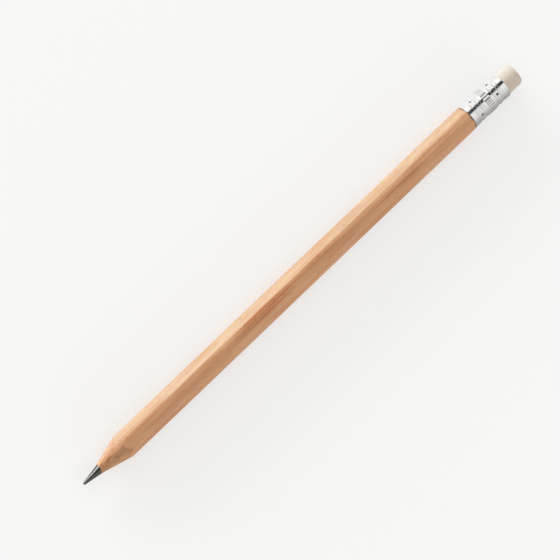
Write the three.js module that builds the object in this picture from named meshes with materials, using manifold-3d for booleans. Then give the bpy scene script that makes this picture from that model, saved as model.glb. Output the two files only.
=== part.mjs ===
// A sharpened hexagonal pencil with an eraser, lying on one of its flats.
// Millimetres, +Z up. The pencil lies along X with its point at the -X end.
// The origin is under the middle of its length, on the surface that it lies on.
import * as THREE from "three";
import { mergeVertices } from "three/addons/utils/BufferGeometryUtils.js";
import Module from "manifold-3d";

const wasm = await Module();
wasm.setup();

// Driving dimensions of the wood and the lead
const overallLength = 180;
const acrossFlats = 7.2;
const cornerRadius = 0.5;
const sharpeningAngle = 14.7; // degrees from the axis to the sharpened wood
const leadDiameter = 2.86;
const leadPointLength = 6.3; // lead that stands out of the wood
const leadPointDiameter = 0.84; // the blunt end of the point
const glueLine = 0.05; // glue between the two halves, and round the lead

// Driving dimensions of the ferrule
const ferruleLength = 14.65;
const ferruleWall = 0.38;
const ferruleFit = 0.05; // radial clearance to the wood and to the eraser
const tenonStep = 0.02; // how far the middle of each flat is turned down for the ferrule
const tenonLength = 7.1;
const shoulderGap = 0.05; // between the wood's shoulder and the ferrule's edge
const crimpWidth = 1.96;
const crimpDepth = 0.16;
const innerCrimpOffset = 2.7; // from the ferrule's middle to the crimp rings nearest it
const outerCrimpOffset = 4.7;
const fluteCount = 30;
const fluteBandLength = 2.5;
const fluteWidth = 0.5;
const fluteShare = 0.28; // depth of a flute, as a share of the wall that it is rolled into
const punchDiameter = 1.05;
const punchDepth = 0.4;
const woodPunchOffset = 4.05; // from the ferrule's middle to the row of marks over the wood
const woodPunchCount = 4;
const woodPunchPhase = 58; // degrees from +Z towards +Y, to the first mark of the row
const eraserPunchOffset = 3.35; // from the ferrule's middle to the row over the eraser
const eraserPunchCount = 5;
const eraserPunchPhase = 65;

// Driving dimensions of the eraser
const eraserShown = 5.55;
const eraserSwell = 0.02; // how much wider the eraser is outside the ferrule
const eraserEdgeRadius = 0.9;
const eraserSeatGap = 0.1; // between the end of the wood and the eraser

// How finely round shapes are divided, and how far a cutting shape runs past what it cuts
const turnSegments = 48;
const ferruleSegments = 32;
const leadSegments = 32;
const cornerSegments = 4;
const crimpSteps = 6;
const edgeSteps = 5;
const punchSegments = 8;
const overrun = 1;

// Sizes that follow from those above. x runs along the axis from the point.
const radians = THREE.MathUtils.degToRad;
const apothem = acrossFlats / 2;
const cornerReach = acrossFlats / Math.sqrt(3);
const leadRadius = leadDiameter / 2;
const boreRadius = leadRadius + glueLine;
const tenonRadius = apothem - tenonStep;
const ferruleInside = tenonRadius + ferruleFit;
const ferruleOutside = ferruleInside + ferruleWall;
const eraserShankRadius = ferruleInside - ferruleFit;
const eraserHeadRadius = eraserShankRadius + eraserSwell;
const ferruleEnd = overallLength - eraserShown;
const ferruleStart = ferruleEnd - ferruleLength;
const ferruleMiddle = (ferruleStart + ferruleEnd) / 2;
const shoulder = ferruleStart - shoulderGap;
const tenonEnd = shoulder + tenonLength;
const crimpOffsets = [-outerCrimpOffset, -innerCrimpOffset, innerCrimpOffset, outerCrimpOffset];
const crimpPlaces = crimpOffsets.map((offset) => ferruleMiddle + offset);
const lowestPoint = Math.max(ferruleOutside, apothem);

const wood = new THREE.MeshStandardMaterial({ color: 0xdcae82, roughness: 0.6, metalness: 0 });
const graphite = new THREE.MeshStandardMaterial({ color: 0x3d3d40, roughness: 0.35, metalness: 0.5 });
const aluminium = new THREE.MeshStandardMaterial({ color: 0xdcdde0, roughness: 0.25, metalness: 1 });
const whiteRubber = new THREE.MeshStandardMaterial({ color: 0xefe9e0, roughness: 0.8, metalness: 0 });

// A closed geometry as a solid that can be joined and cut.
// Triangles that shrink to nothing on the axis are dropped.
function solidOf(geometry) {
  const bare = new THREE.BufferGeometry();
  bare.setAttribute("position", geometry.getAttribute("position"));
  bare.setIndex(geometry.getIndex());
  const merged = mergeVertices(bare, 1e-5);
  const corners = merged.getIndex().array;
  const kept = [];
  for (let i = 0; i < corners.length; i += 3) {
    const [a, b, c] = corners.slice(i, i + 3);
    if (a !== b && b !== c && c !== a) kept.push(a, b, c);
  }
  const vertProperties = merged.getAttribute("position").array;
  const triVerts = new Uint32Array(kept);
  return new wasm.Manifold(new wasm.Mesh({ numProp: 3, vertProperties, triVerts }));
}

function geometryOf(solid) {
  const { vertProperties, triVerts } = solid.getMesh();
  const geometry = new THREE.BufferGeometry();
  geometry.setAttribute("position", new THREE.BufferAttribute(vertProperties, 3));
  geometry.setIndex(new THREE.BufferAttribute(triVerts, 1));
  geometry.computeVertexNormals();
  return geometry;
}

// A profile of [x, radius] points, from the axis and back to it, turned about the X axis
function turned(profile, segments = turnSegments) {
  const points = profile.map(([x, radius]) => new THREE.Vector2(radius, x));
  const lathe = new THREE.LatheGeometry(points, segments);
  lathe.rotateZ(-Math.PI / 2);
  return solidOf(lathe);
}

// A shape drawn across the pencil, with its first axis down, extruded along X
function extrudedAlong(shape, start, length, curveSegments) {
  const settings = { depth: length, bevelEnabled: false, curveSegments };
  const extrusion = new THREE.ExtrudeGeometry(shape, settings);
  extrusion.rotateY(Math.PI / 2);
  extrusion.translate(start, 0, 0);
  return solidOf(extrusion);
}

// A ball beside the axis, at an angle from +Z towards +Y
function ball(x, radius, angle, distance) {
  const sphere = new THREE.SphereGeometry(radius, 2 * punchSegments, punchSegments);
  sphere.translate(x, distance * Math.sin(angle), distance * Math.cos(angle));
  return solidOf(sphere);
}

// Hexagon with rounded corners and two of its flats level
function hexagonShape() {
  const shape = new THREE.Shape();
  const halfTurn = Math.PI / 6; // from the middle of a corner to the flat beside it
  const reach = cornerReach - cornerRadius / Math.cos(halfTurn);
  for (let corner = 0; corner < 6; corner += 1) {
    const angle = Math.PI / 2 + (corner * Math.PI) / 3;
    const [across, up] = [reach * Math.cos(angle), reach * Math.sin(angle)];
    shape.absarc(across, up, cornerRadius, angle - halfTurn, angle + halfTurn);
  }
  shape.closePath();
  return shape;
}

// How far the crimp rings draw a surface in at x: each ring is one wave of a cosine
function crimpAt(x) {
  const depths = crimpPlaces.map((place) => {
    const across = Math.min(Math.abs(x - place) / crimpWidth, 0.5);
    return (crimpDepth * (1 + Math.cos(2 * Math.PI * across))) / 2;
  });
  return Math.max(...depths);
}

// A surface of the ferrule, or under it, from one place to another
function crimpedProfile(start, end, radius) {
  const places = [start, end];
  for (const place of crimpPlaces) {
    for (let step = 0; step <= crimpSteps; step += 1) {
      const x = place + crimpWidth * (step / crimpSteps - 0.5);
      if (x > start && x < end) places.push(x);
    }
  }
  places.sort((a, b) => a - b);
  return places.map((x) => [x, radius - crimpAt(x)]);
}

// The dents of both rows of punch marks.
// Grown by the wall, a dent is the bump that the same blow makes on the inside.
function punchDents(growth) {
  const half = punchDiameter / 2;
  const roundness = (half * half + punchDepth * punchDepth) / (2 * punchDepth);
  const distance = ferruleOutside - punchDepth + roundness;
  const rows = [
    { x: ferruleMiddle - woodPunchOffset, count: woodPunchCount, phase: woodPunchPhase },
    { x: ferruleMiddle + eraserPunchOffset, count: eraserPunchCount, phase: eraserPunchPhase },
  ];
  const dents = [];
  for (const { x, count, phase } of rows) {
    for (let mark = 0; mark < count; mark += 1) {
      const angle = radians(phase) + (2 * Math.PI * mark) / count;
      dents.push(ball(x, roundness + growth, angle, distance));
    }
  }
  return dents.reduce((all, dent) => all.add(dent));
}

// A hexagonal stick, pointed at one end and turned down to a tenon at the other, bored for the lead
function casing() {
  const slope = Math.tan(radians(sharpeningAngle));
  const apex = leadPointLength - leadRadius / slope;
  const clear = cornerReach + overrun;
  const turnedEnvelope = turned([
    [apex, 0],
    [apex + clear / slope, clear],
    [shoulder, clear],
    ...crimpedProfile(shoulder, tenonEnd, tenonRadius),
    [tenonEnd, 0],
  ]);
  const stick = extrudedAlong(hexagonShape(), 0, tenonEnd, cornerSegments);
  const boreEnd = tenonEnd + overrun;
  const bore = turned([[0, 0], [0, boreRadius], [boreEnd, boreRadius], [boreEnd, 0]], leadSegments);
  const dents = punchDents(ferruleWall + ferruleFit);
  return stick.intersect(turnedEnvelope).subtract(bore).subtract(dents);
}

// The stick is two slats glued together through two opposite corners. side is 1 for the upper one.
function casingHalf(side) {
  const room = new THREE.BoxGeometry(overallLength, 2 * acrossFlats, acrossFlats);
  room.translate(overallLength / 2, 0, (side * (acrossFlats + glueLine)) / 2);
  return casing().intersect(solidOf(room));
}

function lead() {
  const pointRadius = leadPointDiameter / 2;
  const taper = Math.atan2(leadRadius - pointRadius, leadPointLength);
  const point = new THREE.Path();
  point.absarc(pointRadius, 0, pointRadius, Math.PI, Math.PI / 2 + taper, true);
  const [, ...rounded] = point.getPoints(edgeSteps).map(({ x, y }) => [x, y]);
  const shaft = [[leadPointLength, leadRadius], [tenonEnd, leadRadius], [tenonEnd, 0]];
  return turned([[0, 0], ...rounded, ...shaft], leadSegments);
}

// Outline of the ferrule across its fluted band. The ribs stand just clear of the tube,
// so that only the grooves cut it.
function flutedOutline() {
  const halfGroove = fluteWidth / 2 / ferruleOutside;
  const ribRadius = ferruleOutside + ferruleFit;
  const grooveRadius = ferruleOutside - fluteShare * ferruleWall;
  const outline = new THREE.Path();
  for (let flute = 0; flute < fluteCount; flute += 1) {
    const angle = (2 * Math.PI * flute) / fluteCount;
    const nextRib = angle + (2 * Math.PI) / fluteCount - halfGroove;
    if (flute === 0) outline.moveTo(grooveRadius, 0);
    else outline.lineTo(grooveRadius * Math.cos(angle), grooveRadius * Math.sin(angle));
    outline.lineTo(ribRadius * Math.cos(angle + halfGroove), ribRadius * Math.sin(angle + halfGroove));
    outline.lineTo(ribRadius * Math.cos(nextRib), ribRadius * Math.sin(nextRib));
  }
  outline.closePath();
  return outline;
}

// A thin tube, drawn in alike on both sides of its wall by the rings and the punch marks
function ferrule() {
  const outside = [
    [ferruleStart, 0],
    ...crimpedProfile(ferruleStart, ferruleEnd, ferruleOutside),
    [ferruleEnd, 0],
  ];
  const inside = [
    [ferruleStart - overrun, 0],
    [ferruleStart - overrun, ferruleInside],
    ...crimpedProfile(ferruleStart, ferruleEnd, ferruleInside),
    [ferruleEnd + overrun, ferruleInside],
    [ferruleEnd + overrun, 0],
  ];
  const hollow = turned(inside, ferruleSegments).subtract(punchDents(ferruleWall));
  const tube = turned(outside, ferruleSegments).subtract(hollow);
  const band = new THREE.Shape();
  band.absarc(0, 0, ferruleOutside + overrun, 0, 2 * Math.PI);
  band.holes.push(flutedOutline());
  const bandStart = ferruleMiddle - fluteBandLength / 2;
  const flutes = extrudedAlong(band, bandStart, fluteBandLength, turnSegments);
  return tube.subtract(punchDents(0)).subtract(flutes);
}

function eraser() {
  const inner = tenonEnd + eraserSeatGap;
  const edge = new THREE.Path();
  const [edgeX, edgeY] = [overallLength - eraserEdgeRadius, eraserHeadRadius - eraserEdgeRadius];
  edge.absarc(edgeX, edgeY, eraserEdgeRadius, Math.PI / 2, 0, true);
  const plug = turned([
    [inner, 0],
    ...crimpedProfile(inner, ferruleEnd, eraserShankRadius),
    [ferruleEnd + eraserSwell, eraserHeadRadius],
    ...edge.getPoints(edgeSteps).map(({ x, y }) => [x, y]),
    [overallLength, 0],
  ]);
  return plug.subtract(punchDents(ferruleWall + ferruleFit));
}

function piece(name, solid, material) {
  const mesh = new THREE.Mesh(geometryOf(solid), material);
  mesh.name = name;
  return mesh;
}

const alongAxis = new THREE.Group();
alongAxis.position.set(-overallLength / 2, 0, lowestPoint);
alongAxis.add(
  piece("graphite_lead", lead(), graphite),
  piece("casing_half_upper", casingHalf(1), wood),
  piece("casing_half_lower", casingHalf(-1), wood),
  piece("ferrule", ferrule(), aluminium),
  piece("eraser", eraser(), whiteRubber),
);

const pencil = new THREE.Group();
pencil.add(alongAxis);

export default pencil;
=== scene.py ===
# %% [markdown]
# # A sharpened pencil with an eraser
# The pencil lies on white paper with its point to the left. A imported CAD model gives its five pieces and
# their places: two wood slats, the lead between them, the ferrule and the eraser. In this lesson each piece
# is modelled again more finely, in the same place and size, and gets the finish of its real material.

# %% Load the CAD model
import math

import bmesh
import bpy
from mathutils import Matrix, Vector


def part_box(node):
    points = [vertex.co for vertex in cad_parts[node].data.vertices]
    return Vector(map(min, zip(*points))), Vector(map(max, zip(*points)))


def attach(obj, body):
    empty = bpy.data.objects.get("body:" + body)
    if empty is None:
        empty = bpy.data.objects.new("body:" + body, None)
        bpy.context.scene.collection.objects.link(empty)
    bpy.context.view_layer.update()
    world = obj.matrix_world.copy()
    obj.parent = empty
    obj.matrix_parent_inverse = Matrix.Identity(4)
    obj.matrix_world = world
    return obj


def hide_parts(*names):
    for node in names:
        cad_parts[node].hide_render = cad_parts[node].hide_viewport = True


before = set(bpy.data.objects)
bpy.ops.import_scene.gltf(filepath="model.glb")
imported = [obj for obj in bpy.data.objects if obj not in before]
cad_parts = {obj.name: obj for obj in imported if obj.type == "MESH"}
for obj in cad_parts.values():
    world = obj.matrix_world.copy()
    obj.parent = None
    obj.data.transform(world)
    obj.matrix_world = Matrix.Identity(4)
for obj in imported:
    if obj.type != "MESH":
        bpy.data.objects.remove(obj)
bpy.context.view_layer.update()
print("CAD pieces:", ", ".join(sorted(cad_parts)))

# %% [markdown]
# ## Sizes
# A maker takes the sizes off the drawing before cutting anything. The boxes of the CAD pieces give nearly all
# of them, so a change in the CAD model carries over to this scene. The pencil's axis runs along X.

# %% Take the sizes off the CAD model
MM = 0.001
X_AXIS = Vector((1, 0, 0))
lead_low, lead_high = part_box("graphite_lead")
slat_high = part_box("casing_half_upper")[1]
ferrule_low, ferrule_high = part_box("ferrule")
eraser_low, eraser_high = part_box("eraser")

axis_height = (ferrule_low.z + ferrule_high.z) / 2
tip_x = lead_low.x
tenon_end_x = slat_high.x
lead_radius = (lead_high.z - lead_low.z) / 2
flat_height = slat_high.z - axis_height
ferrule_radius = (ferrule_high.z - ferrule_low.z) / 2
ferrule_middle_x = (ferrule_low.x + ferrule_high.x) / 2
eraser_radius = (eraser_high.z - eraser_low.z) / 2
print(f"axis at {axis_height / MM:.2f} mm, {2 * flat_height / MM:.2f} mm across the flats")

# %% [markdown]
# ## Camera
# The picture is taken from above, from more than a metre away and with a long lens, so the pencil hardly
# narrows towards its far end. It rises to the right across the frame. The camera is built from three
# directions: from the pencil to the lens, along the pencil and across it, as the picture shows them.

# %% Place the camera
IMAGE_SIDE = 560
FOCAL_PIXELS = 4000
FACET_TURN = math.radians(9)
TILT_AWAY = math.radians(13.4)
IMAGE_RISE = math.radians(43.65)
CAMERA_DISTANCE = 1174 * MM
AIM_FROM_TIP = 84.02 * MM
AIM_OFFSET_PIXELS = 12.1

near_side = Vector((0, math.sin(FACET_TURN), math.cos(FACET_TURN)))
to_camera = math.cos(TILT_AWAY) * near_side - math.sin(TILT_AWAY) * X_AXIS
along = math.cos(TILT_AWAY) * X_AXIS + math.sin(TILT_AWAY) * near_side
across = along.cross(to_camera)
image_right = math.cos(IMAGE_RISE) * along + math.sin(IMAGE_RISE) * across
image_up = math.sin(IMAGE_RISE) * along - math.cos(IMAGE_RISE) * across

aim = Vector((tip_x + AIM_FROM_TIP, 0, axis_height))
aim_offset = AIM_OFFSET_PIXELS / FOCAL_PIXELS * CAMERA_DISTANCE
camera_place = aim + CAMERA_DISTANCE * to_camera - aim_offset * across
camera_axes = Matrix((image_right, image_up, to_camera)).transposed()
lens = bpy.data.cameras.new("camera")
lens.lens = FOCAL_PIXELS / IMAGE_SIDE * lens.sensor_width
camera = bpy.data.objects.new("camera", lens)
camera.matrix_world = Matrix.Translation(camera_place) @ camera_axes.to_4x4()
scene = bpy.context.scene
scene.collection.objects.link(camera)
scene.camera = camera
scene.view_settings.view_transform = "Standard"
print(f"lens {lens.lens:.0f} mm, camera at {tuple(round(c, 3) for c in camera_place)}")

# %% [markdown]
# ## Helpers for materials
# A colour is written as the hex value that a screen shows, and Blender's shaders reckon in linear light, so
# one function turns the first into the second. A second function adds a node: it sets the node's properties,
# and gives each input a value, a link from another node's first output, or a link from a named output.

# %% Colours and nodes
def linear(hex_colour):
    """An sRGB hex colour as linear RGBA."""
    channels = [int(hex_colour[i : i + 2], 16) / 255 for i in (1, 3, 5)]
    light = [c / 12.92 if c <= 0.04045 else ((c + 0.055) / 1.055) ** 2.4 for c in channels]
    return (*light, 1.0)


def add_node(tree, kind, inputs=None, **settings):
    """A new node with its settings, and with a value or a link at each input that is named or numbered."""
    node = tree.nodes.new(kind)
    for name, value in settings.items():
        setattr(node, name, value)
    for name, value in (inputs or {}).items():
        socket = next(s for i, s in enumerate(node.inputs) if s.enabled and name in (i, s.name))
        if isinstance(value, bpy.types.Node):
            value = next(s for s in value.outputs if s.enabled)
        if isinstance(value, bpy.types.NodeSocket):
            tree.links.new(value, socket)
        else:
            socket.default_value = value
    return node


def new_material(name):
    """A material with an empty node tree."""
    material = bpy.data.materials.new(name)
    material.use_nodes = True
    material.node_tree.nodes.clear()
    return material, material.node_tree


print("mid grey in linear light:", round(linear("#808080")[0], 3))

# %% [markdown]
# ## Table and light
# The pencil lies on matt white paper. The camera sees the paper half as a plain white glow, so that it stays
# white in the picture, and half lit as any paper is, so that it keeps the shadow. Mirrors see it plain white.

# %% Lay the table
TABLE_HALF = 2.0
PAPER_GLOW = 0.5
table_material, tree = new_material("matt_white_paper")
paper = add_node(tree, "ShaderNodeBsdfDiffuse", {"Color": linear("#F3F2F0")})
glow = add_node(tree, "ShaderNodeEmission", {"Color": linear("#FFFFFF"), "Strength": 1.0})
ray = add_node(tree, "ShaderNodeLightPath")
seen = {0: ray.outputs["Is Camera Ray"], 1: PAPER_GLOW}
share = add_node(tree, "ShaderNodeMath", seen, operation="MULTIPLY")
for kind in ("Is Glossy Ray", "Is Transmission Ray"):
    share = add_node(tree, "ShaderNodeMath", {0: share, 1: ray.outputs[kind]}, operation="MAXIMUM")
surface = add_node(tree, "ShaderNodeMixShader", {0: share, 1: paper, 2: glow})
add_node(tree, "ShaderNodeOutputMaterial", {"Surface": surface})

bm = bmesh.new()
bmesh.ops.create_grid(bm, x_segments=1, y_segments=1, size=TABLE_HALF)
table_mesh = bpy.data.meshes.new("table")
bm.to_mesh(table_mesh)
bm.free()
table_mesh.materials.append(table_material)
table = bpy.data.objects.new("table", table_mesh)
scene.collection.objects.link(table)
print("table", 2 * TABLE_HALF, "m wide")

# %% [markdown]
# A pale room lights the pencil from all round. The metal mirrors the room, so for mirror-like rays the far
# side is whiter than the near side, and the room darkens towards the pencil's two ends, most of all on the
# far side. That darkening draws a grey line along each flank of the ferrule's rings, which would vanish in an
# even white room. The camera sees a plain pale backdrop.

# %% Light the room
ROOM_LEVEL = 0.8
MIRROR_LEVEL = 0.97
MIRROR_SLOPE = 0.25
MIRROR_CENTRE = 0.23
MIRROR_END_DROP = 1.5
MIRROR_DROP_SLOPE = 1.4
MIRROR_LEAST = 0.4
BACKDROP_LEVEL = 0.93
world = bpy.data.worlds.new("pale_room")
world.use_nodes = True
scene.world = world
tree = world.node_tree
tree.nodes.clear()
direction = add_node(tree, "ShaderNodeTexCoord").outputs["Generated"]
parts = add_node(tree, "ShaderNodeSeparateXYZ", {"Vector": direction})
sideways = {0: parts.outputs["Y"], 1: MIRROR_SLOPE, 2: MIRROR_LEVEL}
mirror = add_node(tree, "ShaderNodeMath", sideways, operation="MULTIPLY_ADD")
turned = {0: parts.outputs["X"], 1: MIRROR_CENTRE}
turned = add_node(tree, "ShaderNodeMath", turned, operation="SUBTRACT")
squared = add_node(tree, "ShaderNodeMath", {0: turned, 1: turned}, operation="MULTIPLY")
steep = {0: parts.outputs["Y"], 1: -MIRROR_DROP_SLOPE, 2: -MIRROR_END_DROP}
drop = add_node(tree, "ShaderNodeMath", steep, operation="MULTIPLY_ADD")
ends = {0: squared, 1: drop, 2: mirror}
mirror = add_node(tree, "ShaderNodeMath", ends, operation="MULTIPLY_ADD")
mirror = add_node(tree, "ShaderNodeMath", {0: mirror, 1: MIRROR_LEAST}, operation="MAXIMUM")
ray = add_node(tree, "ShaderNodeLightPath")
room_light = ROOM_LEVEL
for kind, level in (("Is Glossy Ray", mirror), ("Is Camera Ray", BACKDROP_LEVEL)):
    levels = {"Factor": ray.outputs[kind], "A": room_light, "B": level}
    room_light = add_node(tree, "ShaderNodeMix", levels, data_type="FLOAT")
background = add_node(tree, "ShaderNodeBackground", {"Color": linear("#FFFFFF"), "Strength": room_light})
add_node(tree, "ShaderNodeOutputWorld", {"Surface": background})
print("room level", ROOM_LEVEL)

# %% [markdown]
# A long softbox stands low on the far side. It makes one flat of the hexagon much brighter than the top one,
# which shows the shape. A weaker one on the near side lifts the lower flat. The metal doesn't see the lamps,
# because their images would be glaring lines. The lamps stay at a level where a colour comes out about as it
# is written.

# %% Place the softboxes
KEY_PLACE = Vector((0, 2.25, 0.35))
FILL_PLACE = Vector((0, -2.25, 0.5))
SOFTBOX_LENGTH = 2.75
KEY_HEIGHT = 0.65
FILL_HEIGHT = 0.75
KEY_WATTS = 50
FILL_WATTS = 14.4


def add_softbox(name, place, height, watts):
    """A flat lamp that faces the middle of the pencil."""
    lamp = bpy.data.lights.new(name, "AREA")
    lamp.shape = "RECTANGLE"
    lamp.size = SOFTBOX_LENGTH
    lamp.size_y = height
    lamp.energy = watts
    softbox = bpy.data.objects.new(name, lamp)
    softbox.location = place
    softbox.rotation_euler = (-place).to_track_quat("-Z", "Y").to_euler()
    softbox.visible_glossy = False
    scene.collection.objects.link(softbox)
    print(name, watts, "W")


add_softbox("key_softbox", KEY_PLACE, KEY_HEIGHT, KEY_WATTS)
add_softbox("fill_softbox", FILL_PLACE, FILL_HEIGHT, FILL_WATTS)

# %% [markdown]
# Polished metal and graphite show what stands around them. Photographers hang dark boards, called flags, so
# that a dark stripe tells the eye that a tube is round. One flag is for the ferrule and one for the lead. A
# small lit card gives the lead its bright streak, and two grey boards on the near side, one lying and one
# standing, darken the ferrule's lower edge. Only mirror-like reflections see these boards: they throw no
# light or shade on the wood and stay out of the picture.

# %% Hang the boards
FERRULE_FLAG_PLACE = Vector((0.228, 0.174, 0.352))
FERRULE_FLAG_SIZE = (0.448, 0.22)
LEAD_FLAG_PLACE = Vector((-0.15, 0.058, 0.386))
LEAD_FLAG_SIZE = (0.16, 0.24)
LEAD_CARD_PLACE = Vector((-0.14, 0.475, 0.16))
LEAD_CARD_SIZE = (0.14, 0.22)
NEAR_BOARD_PLACE = Vector((0.1, -0.155, 0.0003))
NEAR_BOARD_SIZE = (0.6, 0.3)
NEAR_WALL_PLACE = Vector((0.1, -0.305, 0.08))
NEAR_WALL_SIZE = (0.6, 0.16)
LIT_CARD_LEVEL = 6.5
UNIT_HALF = 0.5  # a grid of this half width measures 1 m, ready to be stretched


def board_material(name, colour, level=1.0):
    """A material of an even brightness, for a board."""
    material, tree = new_material(name)
    light = add_node(tree, "ShaderNodeEmission", {"Color": linear(colour), "Strength": level})
    add_node(tree, "ShaderNodeOutputMaterial", {"Surface": light})
    return material


def hang_board(name, place, towards, size, material):
    """A board that lies level along X and faces along a direction."""
    bm = bmesh.new()
    bmesh.ops.create_grid(bm, x_segments=1, y_segments=1, size=UNIT_HALF)
    facing = towards.to_track_quat("Z", "Y").to_matrix().to_4x4()
    stretch = Matrix.Diagonal((*size, 1, 1))
    bmesh.ops.transform(bm, matrix=Matrix.Translation(place) @ facing @ stretch, verts=bm.verts)
    mesh = bpy.data.meshes.new(name)
    bm.to_mesh(mesh)
    bm.free()
    mesh.materials.append(material)
    board = bpy.data.objects.new(name, mesh)
    scene.collection.objects.link(board)
    board.visible_camera = False
    board.visible_diffuse = False
    board.visible_transmission = False
    board.visible_shadow = False
    print(name, "measures", size, "m")


dark_felt = board_material("dark_felt", "#3C3C3C")
lit_card = board_material("lit_white_card", "#FFFFFF", LIT_CARD_LEVEL)
grey_card = board_material("grey_card", "#B0AEAC")
pale_card = board_material("pale_grey_card", "#C6C4C2")
ACROSS_AND_UP = Vector((0, 1, 1))
hung_boards = (
    ("ferrule_flag", FERRULE_FLAG_PLACE, FERRULE_FLAG_SIZE, dark_felt),
    ("lead_flag", LEAD_FLAG_PLACE, LEAD_FLAG_SIZE, dark_felt),
    ("lead_card", LEAD_CARD_PLACE, LEAD_CARD_SIZE, lit_card),
)
for name, place, size, material in hung_boards:
    hang_board(name, place, -place * ACROSS_AND_UP, size, material)
hang_board("near_board", NEAR_BOARD_PLACE, Vector((0, 0, 1)), NEAR_BOARD_SIZE, grey_card)
hang_board("near_wall", NEAR_WALL_PLACE, Vector((0, 1, 0)), NEAR_WALL_SIZE, pale_card)

# %% [markdown]
# ## Helpers for turned shapes
# Most of a pencil is turned: the point, the ferrule and the eraser are round about one axis. So one helper
# spins a line of points about that axis. Another closes the mesh and makes its faces point outwards. A third
# makes the object, with an edge kept sharp only where two faces meet at more than a given angle.

# %% Spin a profile, and make an object
MERGE_DISTANCE = 0.0005 * MM


def turn(bm, profile, steps):
    """Spins a line through (x, radius) points about the pencil's axis."""
    points = [bm.verts.new((x, 0, axis_height + radius)) for x, radius in profile]
    line = points + [bm.edges.new(pair) for pair in zip(points, points[1:])]
    centre = (0, 0, axis_height)
    bmesh.ops.spin(bm, geom=line, cent=centre, axis=X_AXIS, angle=math.tau, steps=steps, use_merge=True)
    close_mesh(bm)


def close_mesh(bm):
    """Merges doubles, then turns all faces outwards."""
    bmesh.ops.remove_doubles(bm, verts=bm.verts, dist=MERGE_DISTANCE)
    bmesh.ops.recalc_face_normals(bm, faces=bm.faces)


def make_object(name, bm, sharp_angle=0):
    """Turns a bmesh into an object with smooth faces and sharp edges."""
    for face in bm.faces:
        face.smooth = True
    for edge in bm.edges:
        edge.smooth = edge.is_manifold and edge.calc_face_angle(0) < sharp_angle
    mesh = bpy.data.meshes.new(name)
    bm.to_mesh(mesh)
    bm.free()
    piece = bpy.data.objects.new(name, mesh)
    scene.collection.objects.link(piece)
    return piece


print("doubles are merged within", MERGE_DISTANCE / MM, "mm")

# %% [markdown]
# Two more helpers follow. One cuts an object with another, as a saw or a drill would. The other hands a
# finished piece over: it gives the piece its materials and puts it in the place of its CAD node.

# %% Carve a piece, and hand it over
def carve(piece, tool, operation):
    """Cuts a piece with another object, which is then thrown away."""
    cut = piece.modifiers.new("cut", "BOOLEAN")
    cut.operation = operation
    cut.solver = "EXACT"
    cut.object = tool
    depsgraph = bpy.context.evaluated_depsgraph_get()
    carved = bpy.data.meshes.new_from_object(piece.evaluated_get(depsgraph))
    piece.modifiers.clear()
    piece.data = carved
    bpy.data.objects.remove(tool)


def take_mesh(piece):
    """A bmesh of an object's mesh. The object is thrown away."""
    bm = bmesh.new()
    bm.from_mesh(piece.data)
    bpy.data.objects.remove(piece)
    return bm


def add_piece(piece, node, slot, *materials):
    """Gives a piece its materials and puts it in the place of a CAD node."""
    for material in materials:
        piece.data.materials.append(material)
    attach(piece, "root")
    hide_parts(node)
    print(f"{piece.name}: {len(piece.data.vertices)} points, {len(piece.data.polygons)} faces")


print("ready to carve")

# %% [markdown]
# ## The wood
# A pencil's casing is two slats of soft straight-grained wood with the lead glued between them. The glued
# stick is planed to a hexagon and then sharpened, and its other end is turned down to a tenon for the
# ferrule. The mesh starts from the planed stick, a hexagon with rounded corners. It is cut to the shape
# that sharpener and lathe leave, then bored and split. The curved line between flat and cone comes out by
# itself. The cut leans by a degree, because a pencil is never held quite straight in a sharpener.

# %% Plane the hexagonal stick
FLATS = 6
CORNER_RADIUS = 0.5 * MM
CORNER_STEPS = 8
ROUND_PROFILE = 0.5  # a bevel with this profile is an arc of a circle
OVERRUN = 1.0 * MM  # a tool runs past the work, so that no two faces of a cut lie in one plane
half_flat_angle = math.pi / FLATS
corner_reach = flat_height / math.cos(half_flat_angle)
stick_end_x = tenon_end_x + OVERRUN


def hexagonal_stick():
    """A stick of six flats, two of them level, with rounded corners. It is cut to length later."""
    bm = bmesh.new()
    length = stick_end_x - tip_x
    middle = Matrix.Translation(((tip_x + stick_end_x) / 2, 0, axis_height))
    lay_down = Matrix.Rotation(math.pi / 2, 4, "Y")
    shape = {"segments": FLATS, "radius1": corner_reach, "radius2": corner_reach, "depth": length}
    bmesh.ops.create_cone(bm, cap_ends=True, matrix=middle @ lay_down, **shape)
    corners = [e for e in bm.edges if abs(e.verts[0].co.x - e.verts[1].co.x) > length / 2]
    setback = CORNER_RADIUS * math.tan(half_flat_angle)
    rounding = {"offset": setback, "segments": CORNER_STEPS, "profile": ROUND_PROFILE}
    bmesh.ops.bevel(bm, geom=corners, affect="EDGES", material=-1, **rounding)
    bmesh.ops.recalc_face_normals(bm, faces=bm.faces)
    return make_object("stick", bm)


print(f"{corner_reach / MM:.2f} mm from the axis to a sharp corner")

# %% Sharpen and tenon it
TURN_STEPS = 192
SHARPENING_SLOPE = math.tan(math.radians(14.7))
LEAD_POINT_LENGTH = 6.3 * MM
LEAD_POINT_RADIUS = 0.42 * MM
TENON_RADIUS = 3.58 * MM
SHOULDER_GAP = 0.05 * MM
TENON_CHAMFER = 0.2 * MM
CUT_LEAN = math.radians(1.0)

lead_top_x = tip_x + LEAD_POINT_LENGTH
shoulder_x = ferrule_low.x - SHOULDER_GAP
clear_radius = corner_reach + OVERRUN
lead_slope = (lead_radius - LEAD_POINT_RADIUS) / LEAD_POINT_LENGTH


def lean_cut(bm, end_x):
    """Leans the sharpened cone: a pencil is never held quite straight in the sharpener."""
    cone = [v for v in bm.verts if v.co.x < end_x + MERGE_DISTANCE]
    tip = (tip_x, 0, axis_height)
    bmesh.ops.rotate(bm, cent=tip, matrix=Matrix.Rotation(CUT_LEAN, 3, "Y"), verts=cone)


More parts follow.
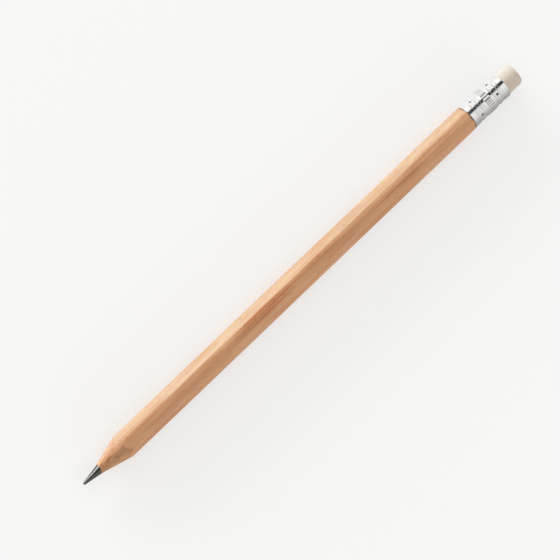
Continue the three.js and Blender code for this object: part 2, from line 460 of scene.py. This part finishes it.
def sharpened_envelope():
    """The round shape that the whole wood lies in: point, stick and tenon."""
    bm = bmesh.new()
    cone_end_x = lead_top_x + (clear_radius - lead_radius) / SHARPENING_SLOPE
    profile = [
        (lead_top_x - lead_radius / lead_slope, 0),
        (lead_top_x, lead_radius),
        (cone_end_x, clear_radius),
        (shoulder_x, clear_radius),
        (shoulder_x, TENON_RADIUS),
        (tenon_end_x - TENON_CHAMFER, TENON_RADIUS),
        (tenon_end_x, TENON_RADIUS - TENON_CHAMFER),
        (tenon_end_x, 0),
    ]
    turn(bm, profile, TURN_STEPS)
    lean_cut(bm, cone_end_x)
    return make_object("envelope", bm)


print(f"sharpened over {(corner_reach - lead_radius) / SHARPENING_SLOPE / MM:.1f} mm of wood")

# %% [markdown]
# The lead's channel is never quite in the middle of the wood. Here it sits a little low and to one side, so
# the line where lead and wood meet runs slightly aslant, as it does on nearly every sharpened pencil. The
# faces that the sharpener cut get a second material, because cut wood looks different from planed wood.

# %% Bore it, and split it into two slats
LEAD_SHIFT = Vector((0, 0.085 * MM, -0.08 * MM))
BORE_CLEARANCE = 0.01 * MM
GLUE_LINE = 0.02 * MM
SLAT_SHARP_ANGLE = math.radians(12)
CUT_FACE_LEAN = -0.1


def lead_rod(radius, start_x, end_x):
    """A plain rod in the lead's place."""
    bm = bmesh.new()
    turn(bm, [(start_x, 0), (start_x, radius), (end_x, radius), (end_x, 0)], TURN_STEPS)
    bmesh.ops.translate(bm, vec=LEAD_SHIFT, verts=bm.verts)
    return make_object("rod", bm)


def slat(name, side):
    """One half of the sharpened casing. side is 1 for the upper slat and -1 for the lower one."""
    stick = hexagonal_stick()
    carve(stick, sharpened_envelope(), "INTERSECT")
    drill = lead_rod(lead_radius + BORE_CLEARANCE, tip_x - OVERRUN, stick_end_x)
    carve(stick, drill, "DIFFERENCE")
    bm = take_mesh(stick)
    joint = Vector((0, 0, axis_height + side * GLUE_LINE / 2))
    everything = bm.verts[:] + bm.edges[:] + bm.faces[:]
    saw = {"plane_co": joint, "plane_no": (0, 0, side), "clear_inner": True}
    bmesh.ops.bisect_plane(bm, geom=everything, dist=MERGE_DISTANCE, **saw)
    bmesh.ops.edgenet_fill(bm, edges=[e for e in bm.edges if e.is_boundary])
    close_mesh(bm)
    for face in bm.faces:
        face.material_index = int(face.normal.x < CUT_FACE_LEAN)
    print(name, "open edges:", sum(not e.is_manifold for e in bm.edges))
    return make_object(name, bm, SLAT_SHARP_ANGLE)


upper_slat = slat("casing_upper", 1)
lower_slat = slat("casing_lower", -1)

# %% [markdown]
# The wood is incense cedar, planed and left bare. Planing bares straight fibres, so the eye sees fine lines
# along the pencil, a few darker lines of late wood, soft patches and small dark flecks. Real fibres are finer
# than a pixel, so they are drawn as bundles. Across the board the wood is darkest along its middle and a
# little paler on the near side; towards the far, lit side it is painted paler as painted light, and paler
# and greyer still on the lit flat as a painted sheen. Each pattern is a noise that is stretched along the
# grain, and the two slats read it at different places, as two boards would.

# %% Draw the grain
BANDS = {"size_mm": (90, 1.4, 1.4), "low": 0.35, "high": 0.65, "shift": 0.0}
LATE_WOOD = {"size_mm": (70, 0.55, 0.55), "low": 0.57, "high": 0.70, "shift": 3.0}
PATCHES = {"size_mm": (18, 2.6, 2.6), "low": 0.4, "high": 0.7, "shift": 9.0}
WANDER = {"size_mm": (30, 2, 2), "low": 0.3, "high": 0.7, "shift": 21.0}
RED_LINES = {"size_mm": (30, 0.42, 0.42), "low": 0.34, "high": 0.64, "shift": 41.6}
# Across the board, each tone sets in at the first place and is full at the second.
DARK_MIDDLE = (-1.7 * MM, -0.8 * MM)
# Painted light: the wood turns paler towards the far side, where the key light falls, and paler and greyer on
# the lit flat.
LIT_SIDE_ZONE = (0.1 * MM, 1.9 * MM)
LIT_FLAT_ZONE = (1.8 * MM, 2.3 * MM)
BOARD_WANDER = 0.3 * MM
STREAK_PLACE_MM = (-16, 0.7, 7.6)
STREAK_REACH_MM = (15, 1.9, 3)
STREAK_FADE = 0.5  # the streak fades over this share of its reach


def streaks(tree, size_mm, low, high, shift, board=0.0, detail=2.0):
    """Noise with spots of a size along X, Y and Z in millimetres, drawn out to 0 at low and 1 at high.

    shift and board pick the place in the noise, so that no two patterns and no two boards are alike.
    """
    place = add_node(tree, "ShaderNodeTexCoord").outputs["Object"]
    scale = [1 / (size * MM) for size in size_mm]
    fitted = add_node(tree, "ShaderNodeMapping", {"Vector": place, "Scale": scale})
    look = {"Vector": fitted, "W": board + shift, "Scale": 1.0, "Detail": detail}
    noise = add_node(tree, "ShaderNodeTexNoise", look, noise_dimensions="4D")
    return add_node(tree, "ShaderNodeMapRange", {"Value": noise, "From Min": low, "From Max": high})


def red_streak(tree, place, board):
    """Thin reddish lines that come and go in one place of the board."""
    scale = [1 / (reach * MM) for reach in STREAK_REACH_MM]
    shift = [-spot / reach for spot, reach in zip(STREAK_PLACE_MM, STREAK_REACH_MM)]
    fitted = add_node(tree, "ShaderNodeMapping", {"Vector": place, "Location": shift, "Scale": scale})
    near = add_node(tree, "ShaderNodeTexGradient", {"Vector": fitted}, gradient_type="SPHERICAL")
    near = add_node(tree, "ShaderNodeMapRange", {"Value": near, "From Max": STREAK_FADE})
    lines = streaks(tree, **RED_LINES, board=board)
    return add_node(tree, "ShaderNodeMath", {0: near, 1: lines}, operation="MULTIPLY")


def board_colour(tree, board, lit_side_zone, near_wood, dark_middle_wood, lit_side_wood, lit_flat_wood):
    """The colour of a cedar board: darkest along its middle, painted paler towards the far, lit side, with
    the lines of its growth.
    """
    place = add_node(tree, "ShaderNodeTexCoord").outputs["Object"]
    side = add_node(tree, "ShaderNodeSeparateXYZ", {"Vector": place}).outputs["Y"]
    wander = {0: streaks(tree, **WANDER, board=board), 1: BOARD_WANDER, 2: side}
    side = add_node(tree, "ShaderNodeMath", wander, operation="MULTIPLY_ADD")
    tone = linear(near_wood)
    zones = ((DARK_MIDDLE, dark_middle_wood), (lit_side_zone, lit_side_wood), (LIT_FLAT_ZONE, lit_flat_wood))
    for (start, full), colour in zones:
        span = {"Value": side, "From Min": start, "From Max": full}
        share = add_node(tree, "ShaderNodeMapRange", span)
        layer = {"Factor": share, "A": tone, "B": linear(colour)}
        tone = add_node(tree, "ShaderNodeMix", layer, data_type="RGBA")
    growth = [
        (streaks(tree, **BANDS, board=board), "#F6F0EA"),
        (streaks(tree, **LATE_WOOD, board=board), "#EDDED2"),
        (streaks(tree, **PATCHES, board=board), "#F0E3DA"),
        (red_streak(tree, place, board), "#E9BEA2"),
    ]
    for pattern, tint in growth:
        layer = {"Factor": pattern, "A": tone, "B": linear(tint)}
        tone = add_node(tree, "ShaderNodeMix", layer, data_type="RGBA", blend_type="MULTIPLY")
    return tone


print("bands", BANDS["size_mm"], "mm, late wood", LATE_WOOD["size_mm"], "mm")

# %% Finish the planed flats
FIBRES = {"size_mm": (14, 0.3, 0.3), "low": 0.3, "high": 0.7, "shift": 5.0}
FLECKS = {"size_mm": (1.4, 0.28, 0.28), "low": 0.6, "high": 0.72, "shift": 13.0}
FIBRE_DEPTH = 0.02 * MM
FIBRE_RELIEF = 0.6
PLANED_ROUGHNESS = (0.5, 0.62)
WOOD_IOR = 1.5
# Darker wood along the ferrule's edge, over this width: dirt and a painted shadow of the ferrule's rim.
JOINT_DIRT_AND_SHADE = 0.3 * MM
# The lit-side tones are painted light: paler where the key light falls, and paler and greyer as a painted
# sheen on the lit flat.
PLANED_TONES = {
    "near_wood": "#D5A57C",
    "dark_middle_wood": "#CC9C74",
    "lit_side_wood": "#E7B587",
    "lit_flat_wood": "#D6B99B",
}


def planed_cedar(name, board):
    """Bare planed cedar: fine lines along the grain and a dull silky shine."""
    material, tree = new_material(name)
    tone = board_colour(tree, board, LIT_SIDE_ZONE, **PLANED_TONES)
    fibres = streaks(tree, **FIBRES, board=board)
    flecks = streaks(tree, **FLECKS, board=board)
    place = add_node(tree, "ShaderNodeTexCoord").outputs["Object"]
    lengthwise = add_node(tree, "ShaderNodeSeparateXYZ", {"Vector": place}).outputs["X"]
    # Dirt and a painted shadow of the ferrule's rim darken the wood along the shoulder.
    span = {"Value": lengthwise, "From Min": shoulder_x - JOINT_DIRT_AND_SHADE, "From Max": shoulder_x}
    joint_dirt_and_shade = add_node(tree, "ShaderNodeMapRange", span)
    for pattern, tint in ((fibres, "#EADFD4"), (flecks, "#D9C3B0"), (joint_dirt_and_shade, "#7A6152")):
        layer = {"Factor": pattern, "A": tone, "B": linear(tint)}
        tone = add_node(tree, "ShaderNodeMix", layer, data_type="RGBA", blend_type="MULTIPLY")
    ends = {"Value": fibres, "To Min": PLANED_ROUGHNESS[0], "To Max": PLANED_ROUGHNESS[1]}
    rough = add_node(tree, "ShaderNodeMapRange", ends)
    relief = {"Strength": FIBRE_RELIEF, "Distance": -FIBRE_DEPTH, "Height": fibres}
    bump = add_node(tree, "ShaderNodeBump", relief)
    finish = {"Base Color": tone, "Roughness": rough, "Normal": bump, "IOR": WOOD_IOR}
    shader = add_node(tree, "ShaderNodeBsdfPrincipled", finish)
    add_node(tree, "ShaderNodeOutputMaterial", {"Surface": shader})
    return material


print("grooves between the fibres", FIBRE_DEPTH / MM, "mm deep")

# %% [markdown]
# The sharpener's blade crosses the grain at a slant. It opens the fibres and leaves the cone duller, a little
# darker and mottled, with short marks where the blade tore the wood.

# %% Finish the sharpened cone
MOTTLE = {"size_mm": (3.0, 0.9, 0.9), "low": 0.35, "high": 0.68, "shift": 17.0, "detail": 3.0}
TEARS = {"size_mm": (2.4, 0.35, 0.35), "low": 0.5, "high": 0.7, "shift": 19.0}
TEAR_DEPTH = 0.04 * MM
TEAR_RELIEF = 0.6
CUT_ROUGHNESS = 0.68
# Painted light on the cone as on the flats: paler towards the far, lit side, and paler and greyer on the lit
# flat.
CUT_LIT_SIDE_ZONE = (0.75 * MM, 1.45 * MM)
CUT_TONES = {
    "near_wood": "#C49871",
    "dark_middle_wood": "#BB8E68",
    "lit_side_wood": "#DDB490",
    "lit_flat_wood": "#DDBC9D",
}


def sharpened_cedar(name, board):
    """Cedar cut aslant by a blade: mottled, duller and a little darker than the flats."""
    material, tree = new_material(name)
    tone = board_colour(tree, board, CUT_LIT_SIDE_ZONE, **CUT_TONES)
    mottle = streaks(tree, **MOTTLE, board=board)
    tears = streaks(tree, **TEARS, board=board)
    for pattern, tint in ((mottle, "#EBDCD3"), (tears, "#EAD9CC")):
        layer = {"Factor": pattern, "A": tone, "B": linear(tint)}
        tone = add_node(tree, "ShaderNodeMix", layer, data_type="RGBA", blend_type="MULTIPLY")
    relief = {"Strength": TEAR_RELIEF, "Distance": -TEAR_DEPTH, "Height": tears}
    bump = add_node(tree, "ShaderNodeBump", relief)
    finish = {"Base Color": tone, "Roughness": CUT_ROUGHNESS, "Normal": bump, "IOR": WOOD_IOR}
    shader = add_node(tree, "ShaderNodeBsdfPrincipled", finish)
    add_node(tree, "ShaderNodeOutputMaterial", {"Surface": shader})
    return material


UPPER_BOARD = 1.0  # each board's place in the noise
LOWER_BOARD = 31.0
upper_finish = planed_cedar("planed_cedar_upper", UPPER_BOARD)
upper_cut = sharpened_cedar("sharpened_cedar_upper", UPPER_BOARD)
lower_finish = planed_cedar("planed_cedar_lower", LOWER_BOARD)
lower_cut = sharpened_cedar("sharpened_cedar_lower", LOWER_BOARD)
add_piece(upper_slat, "casing_half_upper", "casing_wood", upper_finish, upper_cut)
add_piece(lower_slat, "casing_half_lower", "casing_wood", lower_finish, lower_cut)

# %% [markdown]
# ## The lead
# The lead is a rod of fired graphite and clay, and the sharpener cuts it to a slim blunt cone. It could be
# one spun line, but the rod sits off the middle of the cut. So the cut is spun about the pencil's axis and
# leaned like the cut in the wood, and the rod takes its part of it.

# %% Cut the lead
POINT_STEPS = 8
LEAD_SHARP_ANGLE = math.radians(20)


def lead_piece():
    """The rod of the lead with its point cut."""
    bm = bmesh.new()
    lean = math.atan(lead_slope)
    swings = [step / POINT_STEPS * (math.pi / 2 - lean) for step in range(1, POINT_STEPS + 1)]
    r = LEAD_POINT_RADIUS
    profile = [(tip_x, 0)] + [(tip_x + r * (1 - math.cos(a)), r * math.sin(a)) for a in swings]
    clear_x = lead_top_x + (corner_reach - lead_radius) / SHARPENING_SLOPE
    profile += [(lead_top_x, lead_radius), (clear_x, corner_reach)]
    profile += [(tenon_end_x, corner_reach), (tenon_end_x, 0)]
    turn(bm, profile, TURN_STEPS)
    lean_cut(bm, clear_x)
    cut_shape = make_object("cut_shape", bm)
    carve(cut_shape, lead_rod(lead_radius, tip_x - OVERRUN, stick_end_x), "INTERSECT")
    bm = take_mesh(cut_shape)
    close_mesh(bm)
    print("lead open edges:", sum(not e.is_manifold for e in bm.edges))
    return make_object("lead", bm, LEAD_SHARP_ANGLE)


lead = lead_piece()

# %% [markdown]
# Graphite flakes lie flat where the blade cut them, so the cone shines like dull dark metal, in streaks that
# run along it. The clay between the flakes stays matt.

# %% Finish the lead
BLADE_LINES = {"size_mm": (9, 0.16, 0.16), "low": 0.35, "high": 0.65, "shift": 3.0}
CLAY = {"size_mm": (0.3, 0.2, 0.2), "low": 0.35, "high": 0.7, "shift": 7.0}
BLADE_LINE_DEPTH = 0.01 * MM
BLADE_LINE_RELIEF = 0.5
GRAPHITE_ROUGHNESS = (0.14, 0.24)


def cut_graphite():
    """Fired graphite and clay, cut by a blade: dark grey with a metallic shine in streaks."""
    material, tree = new_material("cut_graphite")
    lines = streaks(tree, **BLADE_LINES)
    clay = streaks(tree, **CLAY)
    ends = {"Factor": lines, "A": linear("#5E5C5A"), "B": linear("#7A7876")}
    tone = add_node(tree, "ShaderNodeMix", ends, data_type="RGBA")
    ends = {"Value": clay, "To Min": GRAPHITE_ROUGHNESS[0], "To Max": GRAPHITE_ROUGHNESS[1]}
    rough = add_node(tree, "ShaderNodeMapRange", ends)
    relief = {"Strength": BLADE_LINE_RELIEF, "Distance": BLADE_LINE_DEPTH, "Height": lines}
    bump = add_node(tree, "ShaderNodeBump", relief)
    finish = {"Base Color": tone, "Roughness": rough, "Normal": bump, "Metallic": 1.0}
    shader = add_node(tree, "ShaderNodeBsdfPrincipled", finish)
    add_node(tree, "ShaderNodeOutputMaterial", {"Surface": shader})
    return material


add_piece(lead, "graphite_lead", "graphite", cut_graphite())

# %% [markdown]
# ## The ferrule
# The ferrule is a short thin aluminium tube. Rolls press four rings and a fluted band into it, and punches
# drive in round dents that hold the wood and the eraser. The mesh follows the same steps: a plain tube with a
# wall and rounded rims, which is then pressed in towards its axis. Each point keeps how far down a flute or a
# punch mark it is, and the material reads that to put grime and painted shade there. A second value marks
# the fluted band.

# %% Set the rolls and punches
CRIMP_WIDTH = 1.96 * MM
CRIMP_DEPTH = 0.16 * MM
CRIMP_OFFSETS = [offset * MM for offset in (-4.7, -2.7, 2.7, 4.7)]
BAND_STANDS_PROUD = 0.06 * MM
FLUTES = 30
FLUTE_TURN = math.radians(9)
FLUTE_BAND = 2.5 * MM
FLUTE_DEPTH = 0.1 * MM
FLUTE_RUNOUT = 0.2 * MM
PUNCH_RADIUS = 0.68 * MM
PUNCH_DEPTH = 0.32 * MM
PUNCH_SOFTNESS = 1.5  # a higher power makes a dish with a softer edge
# Grime and painted shade: how dark the punch marks and the bottoms of the flutes are painted, and how close
# to the bottom.
PUNCH_GRIME_AND_SHADE = 1.05
FLUTE_GRIME_AND_SHADE = 0.65
FLUTE_SHADE_POWER = 4  # a higher power keeps the grime closer to the bottom of a flute
# Each row of punches: its place along the ferrule, the number of marks and the turn of the first one.
WOOD_PUNCHES = (-4.05 * MM, 4, math.radians(58))
ERASER_PUNCHES = (3.35 * MM, 5, math.radians(65))
PUNCH_ROWS = [WOOD_PUNCHES, ERASER_PUNCHES]


def crimp_depth(x):
    """How deep the rings are at x from the middle: each is one wave of a cosine."""
    shares = [min(abs(x - offset) / CRIMP_WIDTH, 0.5) for offset in CRIMP_OFFSETS]
    return max(CRIMP_DEPTH * (1 + math.cos(math.tau * share)) / 2 for share in shares)


def band_share(x):
    """1 in the fluted band and 0 outside it, with a short slope between."""
    return min(max((FLUTE_BAND / 2 - abs(x)) / FLUTE_RUNOUT, 0), 1)


def flute_share(x, angle):
    """How far down a flute a point is: the flutes are hollow and meet in sharp ridges, as on a column."""
    turns = FLUTES * (angle - FLUTE_TURN) / math.tau
    from_groove = 2 * abs((turns + 0.5) % 1 - 0.5)
    return band_share(x) * (1 - from_groove**2)


def punch_share(x, angle):
    """How far down a punch mark a point is."""
    for row_x, count, phase in PUNCH_ROWS:
        pitch = math.tau / count
        swing = (angle - phase + pitch / 2) % pitch - pitch / 2
        distance = math.hypot(x - row_x, swing * ferrule_radius) / PUNCH_RADIUS
        if distance < 1:
            return (1 - distance**2) ** PUNCH_SOFTNESS
    return 0


print(FLUTES, "flutes,", len(CRIMP_OFFSETS), "rings,", sum(row[1] for row in PUNCH_ROWS), "punch marks")

# %% Roll and press the tube
STEPS_PER_FLUTE = 12
FERRULE_STEPS = STEPS_PER_FLUTE * FLUTES
FERRULE_SLICES = 110
FERRULE_WALL = 0.38 * MM
INNER_GIVE = 0.03 * MM
RIM_ROUND = 0.1 * MM
RIM_STEPS = 3
FERRULE_SHARP_ANGLE = math.radians(40)


def plain_tube():
    """The tube before it is pressed, with its wall and rounded rims."""
    bm = bmesh.new()
    turn(bm, [(ferrule_low.x, ferrule_radius), (ferrule_high.x, ferrule_radius)], FERRULE_STEPS)
    lengthwise = [e for e in bm.edges if abs(e.verts[0].co.x - e.verts[1].co.x) > MM]
    bmesh.ops.subdivide_edges(bm, edges=lengthwise, cuts=FERRULE_SLICES - 1, use_grid_fill=True)
    bmesh.ops.recalc_face_normals(bm, faces=bm.faces)
    bmesh.ops.solidify(bm, geom=bm.faces[:], thickness=FERRULE_WALL)
    rims = []
    for edge in bm.edges:
        ends = [min(v.co.x - ferrule_low.x, ferrule_high.x - v.co.x) for v in edge.verts]
        radii = [math.hypot(v.co.y, v.co.z - axis_height) for v in edge.verts]
        if max(ends) < MERGE_DISTANCE and abs(radii[0] - radii[1]) < FERRULE_WALL / 2:
            rims.append(edge)
    rounding = {"offset": RIM_ROUND, "segments": RIM_STEPS, "profile": ROUND_PROFILE}
    bmesh.ops.bevel(bm, geom=rims, affect="EDGES", material=-1, **rounding)
    return bm


def ferrule_piece():
    """The rolled, fluted and punched tube. The wood and the eraser keep the inner wall from giving way."""
    bm = plain_tube()
    grime_and_shade = bm.verts.layers.float.new("grime_and_shade")
    fluted = bm.verts.layers.float.new("fluted")
    wall_middle = ferrule_radius - FERRULE_WALL / 2
    for vert in bm.verts:
        x = vert.co.x - ferrule_middle_x
        arm = Vector((0, vert.co.y, vert.co.z - axis_height))
        angle = math.atan2(arm.y, arm.z)
        flute = flute_share(x, angle)
        punch = punch_share(x, angle)
        rolled = BAND_STANDS_PROUD * (1 - band_share(x)) + crimp_depth(x) + FLUTE_DEPTH * flute
        depth = max(rolled, PUNCH_DEPTH * punch)
        if arm.length < wall_middle:
            depth = min(depth, INNER_GIVE)
        vert.co -= depth * arm.normalized()
        # This value is grime and painted shade in the hollows.
        vert[grime_and_shade] = max(FLUTE_GRIME_AND_SHADE * flute**FLUTE_SHADE_POWER, min(PUNCH_GRIME_AND_SHADE * punch, 1))
        vert[fluted] = band_share(x)
    print("ferrule open edges:", sum(not e.is_manifold for e in bm.edges))
    return make_object("ferrule_tube", bm, FERRULE_SHARP_ANGLE)


ferrule = ferrule_piece()

# %% [markdown]
# Bright rolled aluminium mirrors the room. The rolls leave very fine lines round the tube, which blur the
# mirror a little, and handling leaves soft smears. The wheel that presses the flutes leaves its band duller.
# Graphite dust and dirt stay in the flutes and the punch marks, and their darkening there is also painted
# shade.

# %% Finish the ferrule
ROLL_LINES = {"size_mm": (0.12, 6, 6), "low": 0.3, "high": 0.7, "shift": 2.0}
SMEARS = {"size_mm": (2.2, 1.4, 1.4), "low": 0.35, "high": 0.7, "shift": 6.0}
ROLL_LINE_DEPTH = 0.004 * MM
ROLL_LINE_RELIEF = 0.4
METAL_ROUGHNESS = (0.1, 0.2)
FLUTE_DULLING = 0.12
GRIME_AND_SHADE_SPREAD = (0.25, 0.75)


def rolled_aluminium():
    """Bright rolled aluminium: clear, slightly blurred reflections, and dark grime and painted shade in the
    hollows.
    """
    material, tree = new_material("rolled_aluminium")
    lines = streaks(tree, **ROLL_LINES)
    smears = streaks(tree, **SMEARS)
    pressed = add_node(tree, "ShaderNodeAttribute", attribute_name="grime_and_shade").outputs["Fac"]
    span = {"Value": pressed, "From Min": GRIME_AND_SHADE_SPREAD[0], "From Max": GRIME_AND_SHADE_SPREAD[1]}
    grime_and_shade = add_node(tree, "ShaderNodeMapRange", span)
    ends = {"Factor": smears, "A": linear("#F3F2F1"), "B": linear("#E9E8E7")}
    tone = add_node(tree, "ShaderNodeMix", ends, data_type="RGBA")
    # The dark grey in the flutes and punch marks is grime and painted shade.
    layer = {"Factor": grime_and_shade, "A": tone, "B": linear("#807D7A")}
    tone = add_node(tree, "ShaderNodeMix", layer, data_type="RGBA")
    ends = {"Value": smears, "To Min": METAL_ROUGHNESS[0], "To Max": METAL_ROUGHNESS[1]}
    rough = add_node(tree, "ShaderNodeMapRange", ends)
    fluted = add_node(tree, "ShaderNodeAttribute", attribute_name="fluted").outputs["Fac"]
    dulled = {0: fluted, 1: FLUTE_DULLING, 2: rough}
    rough = add_node(tree, "ShaderNodeMath", dulled, operation="MULTIPLY_ADD")
    relief = {"Strength": ROLL_LINE_RELIEF, "Distance": ROLL_LINE_DEPTH, "Height": lines}
    bump = add_node(tree, "ShaderNodeBump", relief)
    finish = {"Base Color": tone, "Roughness": rough, "Normal": bump, "Metallic": 1.0}
    shader = add_node(tree, "ShaderNodeBsdfPrincipled", finish)
    add_node(tree, "ShaderNodeOutputMaterial", {"Surface": shader})
    return material


add_piece(ferrule, "ferrule", "ferrule_aluminium", rolled_aluminium())

# %% [markdown]
# ## The eraser
# The eraser is a plug of white vulcanised rubber. It is slimmer inside the ferrule, swells a little where it
# leaves it, and its end has a rounded edge. One spun line gives the plug, and a bevel rounds the edge.

# %% Turn the eraser
ERASER_STEPS = 96
ERASER_EDGE = 0.9 * MM
ERASER_EDGE_STEPS = 12
ERASER_SHANK_RADIUS = 3.58 * MM
ERASER_SWELL_LENGTH = 0.3 * MM
ERASER_SHARP_ANGLE = math.radians(40)


def eraser_piece():
    """The rubber plug, its outer edge rounded."""
    bm = bmesh.new()
    profile = [
        (eraser_low.x, 0),
        (eraser_low.x, ERASER_SHANK_RADIUS),
        (ferrule_high.x, ERASER_SHANK_RADIUS),
        (ferrule_high.x + ERASER_SWELL_LENGTH, eraser_radius),
        (eraser_high.x, eraser_radius),
        (eraser_high.x, 0),
    ]
    turn(bm, profile, ERASER_STEPS)
    end_edge = []
    for edge in bm.edges:
        at_end = all(v.co.x > eraser_high.x - MERGE_DISTANCE for v in edge.verts)
        radii = [math.hypot(v.co.y, v.co.z - axis_height) for v in edge.verts]
        if at_end and min(radii) > eraser_radius / 2:
            end_edge.append(edge)
    rounding = {"offset": ERASER_EDGE, "segments": ERASER_EDGE_STEPS, "profile": ROUND_PROFILE}
    bmesh.ops.bevel(bm, geom=end_edge, affect="EDGES", material=-1, **rounding)
    print("eraser open edges:", sum(not e.is_manifold for e in bm.edges))
    return make_object("eraser_plug", bm, ERASER_SHARP_ANGLE)


eraser = eraser_piece()

# %% [markdown]
# Rubber for erasers is filled with chalk, which makes it matt and off-white. Moulding and handling leave a
# faint grit and soft smudges. The far side, where the key light falls, is painted whiter and greyer, as
# painted light.

# %% Finish the eraser
GRIT = {"size_mm": (0.35, 0.35, 0.35), "low": 0.3, "high": 0.7, "shift": 4.0}
SMUDGES = {"size_mm": (3, 2, 2), "low": 0.3, "high": 0.75, "shift": 8.0}
GRIT_DEPTH = 0.02 * MM
GRIT_RELIEF = 0.4
RUBBER_ROUGHNESS = 0.75
RUBBER_IOR = 1.52
# Painted light: the eraser turns whiter and greyer towards the far side, where the key light falls.
LIT_SIDE_WHITENING = (0.6 * MM, 3.2 * MM)


def white_rubber():
    """Vulcanised rubber with chalk in it: matt and off-white, with a faint grit."""
    material, tree = new_material("vulcanised_white_rubber")
    grit = streaks(tree, **GRIT)
    smudges = streaks(tree, **SMUDGES)
    place = add_node(tree, "ShaderNodeTexCoord").outputs["Object"]
    side = add_node(tree, "ShaderNodeSeparateXYZ", {"Vector": place}).outputs["Y"]
    span = {"Value": side, "From Min": LIT_SIDE_WHITENING[0], "From Max": LIT_SIDE_WHITENING[1]}
    lit_side_share = add_node(tree, "ShaderNodeMapRange", span)
    # The whiter, greyer tone on the lit side is painted light.
    ends = {"Factor": lit_side_share, "A": linear("#CCC1B3"), "B": linear("#D4D1CA")}
    tone = add_node(tree, "ShaderNodeMix", ends, data_type="RGBA")
    for pattern, tint in ((smudges, "#F4F1EE"), (grit, "#F4F0EA")):
        layer = {"Factor": pattern, "A": tone, "B": linear(tint)}
        tone = add_node(tree, "ShaderNodeMix", layer, data_type="RGBA", blend_type="MULTIPLY")
    relief = {"Strength": GRIT_RELIEF, "Distance": GRIT_DEPTH, "Height": grit}
    bump = add_node(tree, "ShaderNodeBump", relief)
    finish = {"Base Color": tone, "Roughness": RUBBER_ROUGHNESS, "Normal": bump, "IOR": RUBBER_IOR}
    shader = add_node(tree, "ShaderNodeBsdfPrincipled", finish)
    add_node(tree, "ShaderNodeOutputMaterial", {"Surface": shader})
    return material


add_piece(eraser, "eraser", "eraser_rubber", white_rubber())
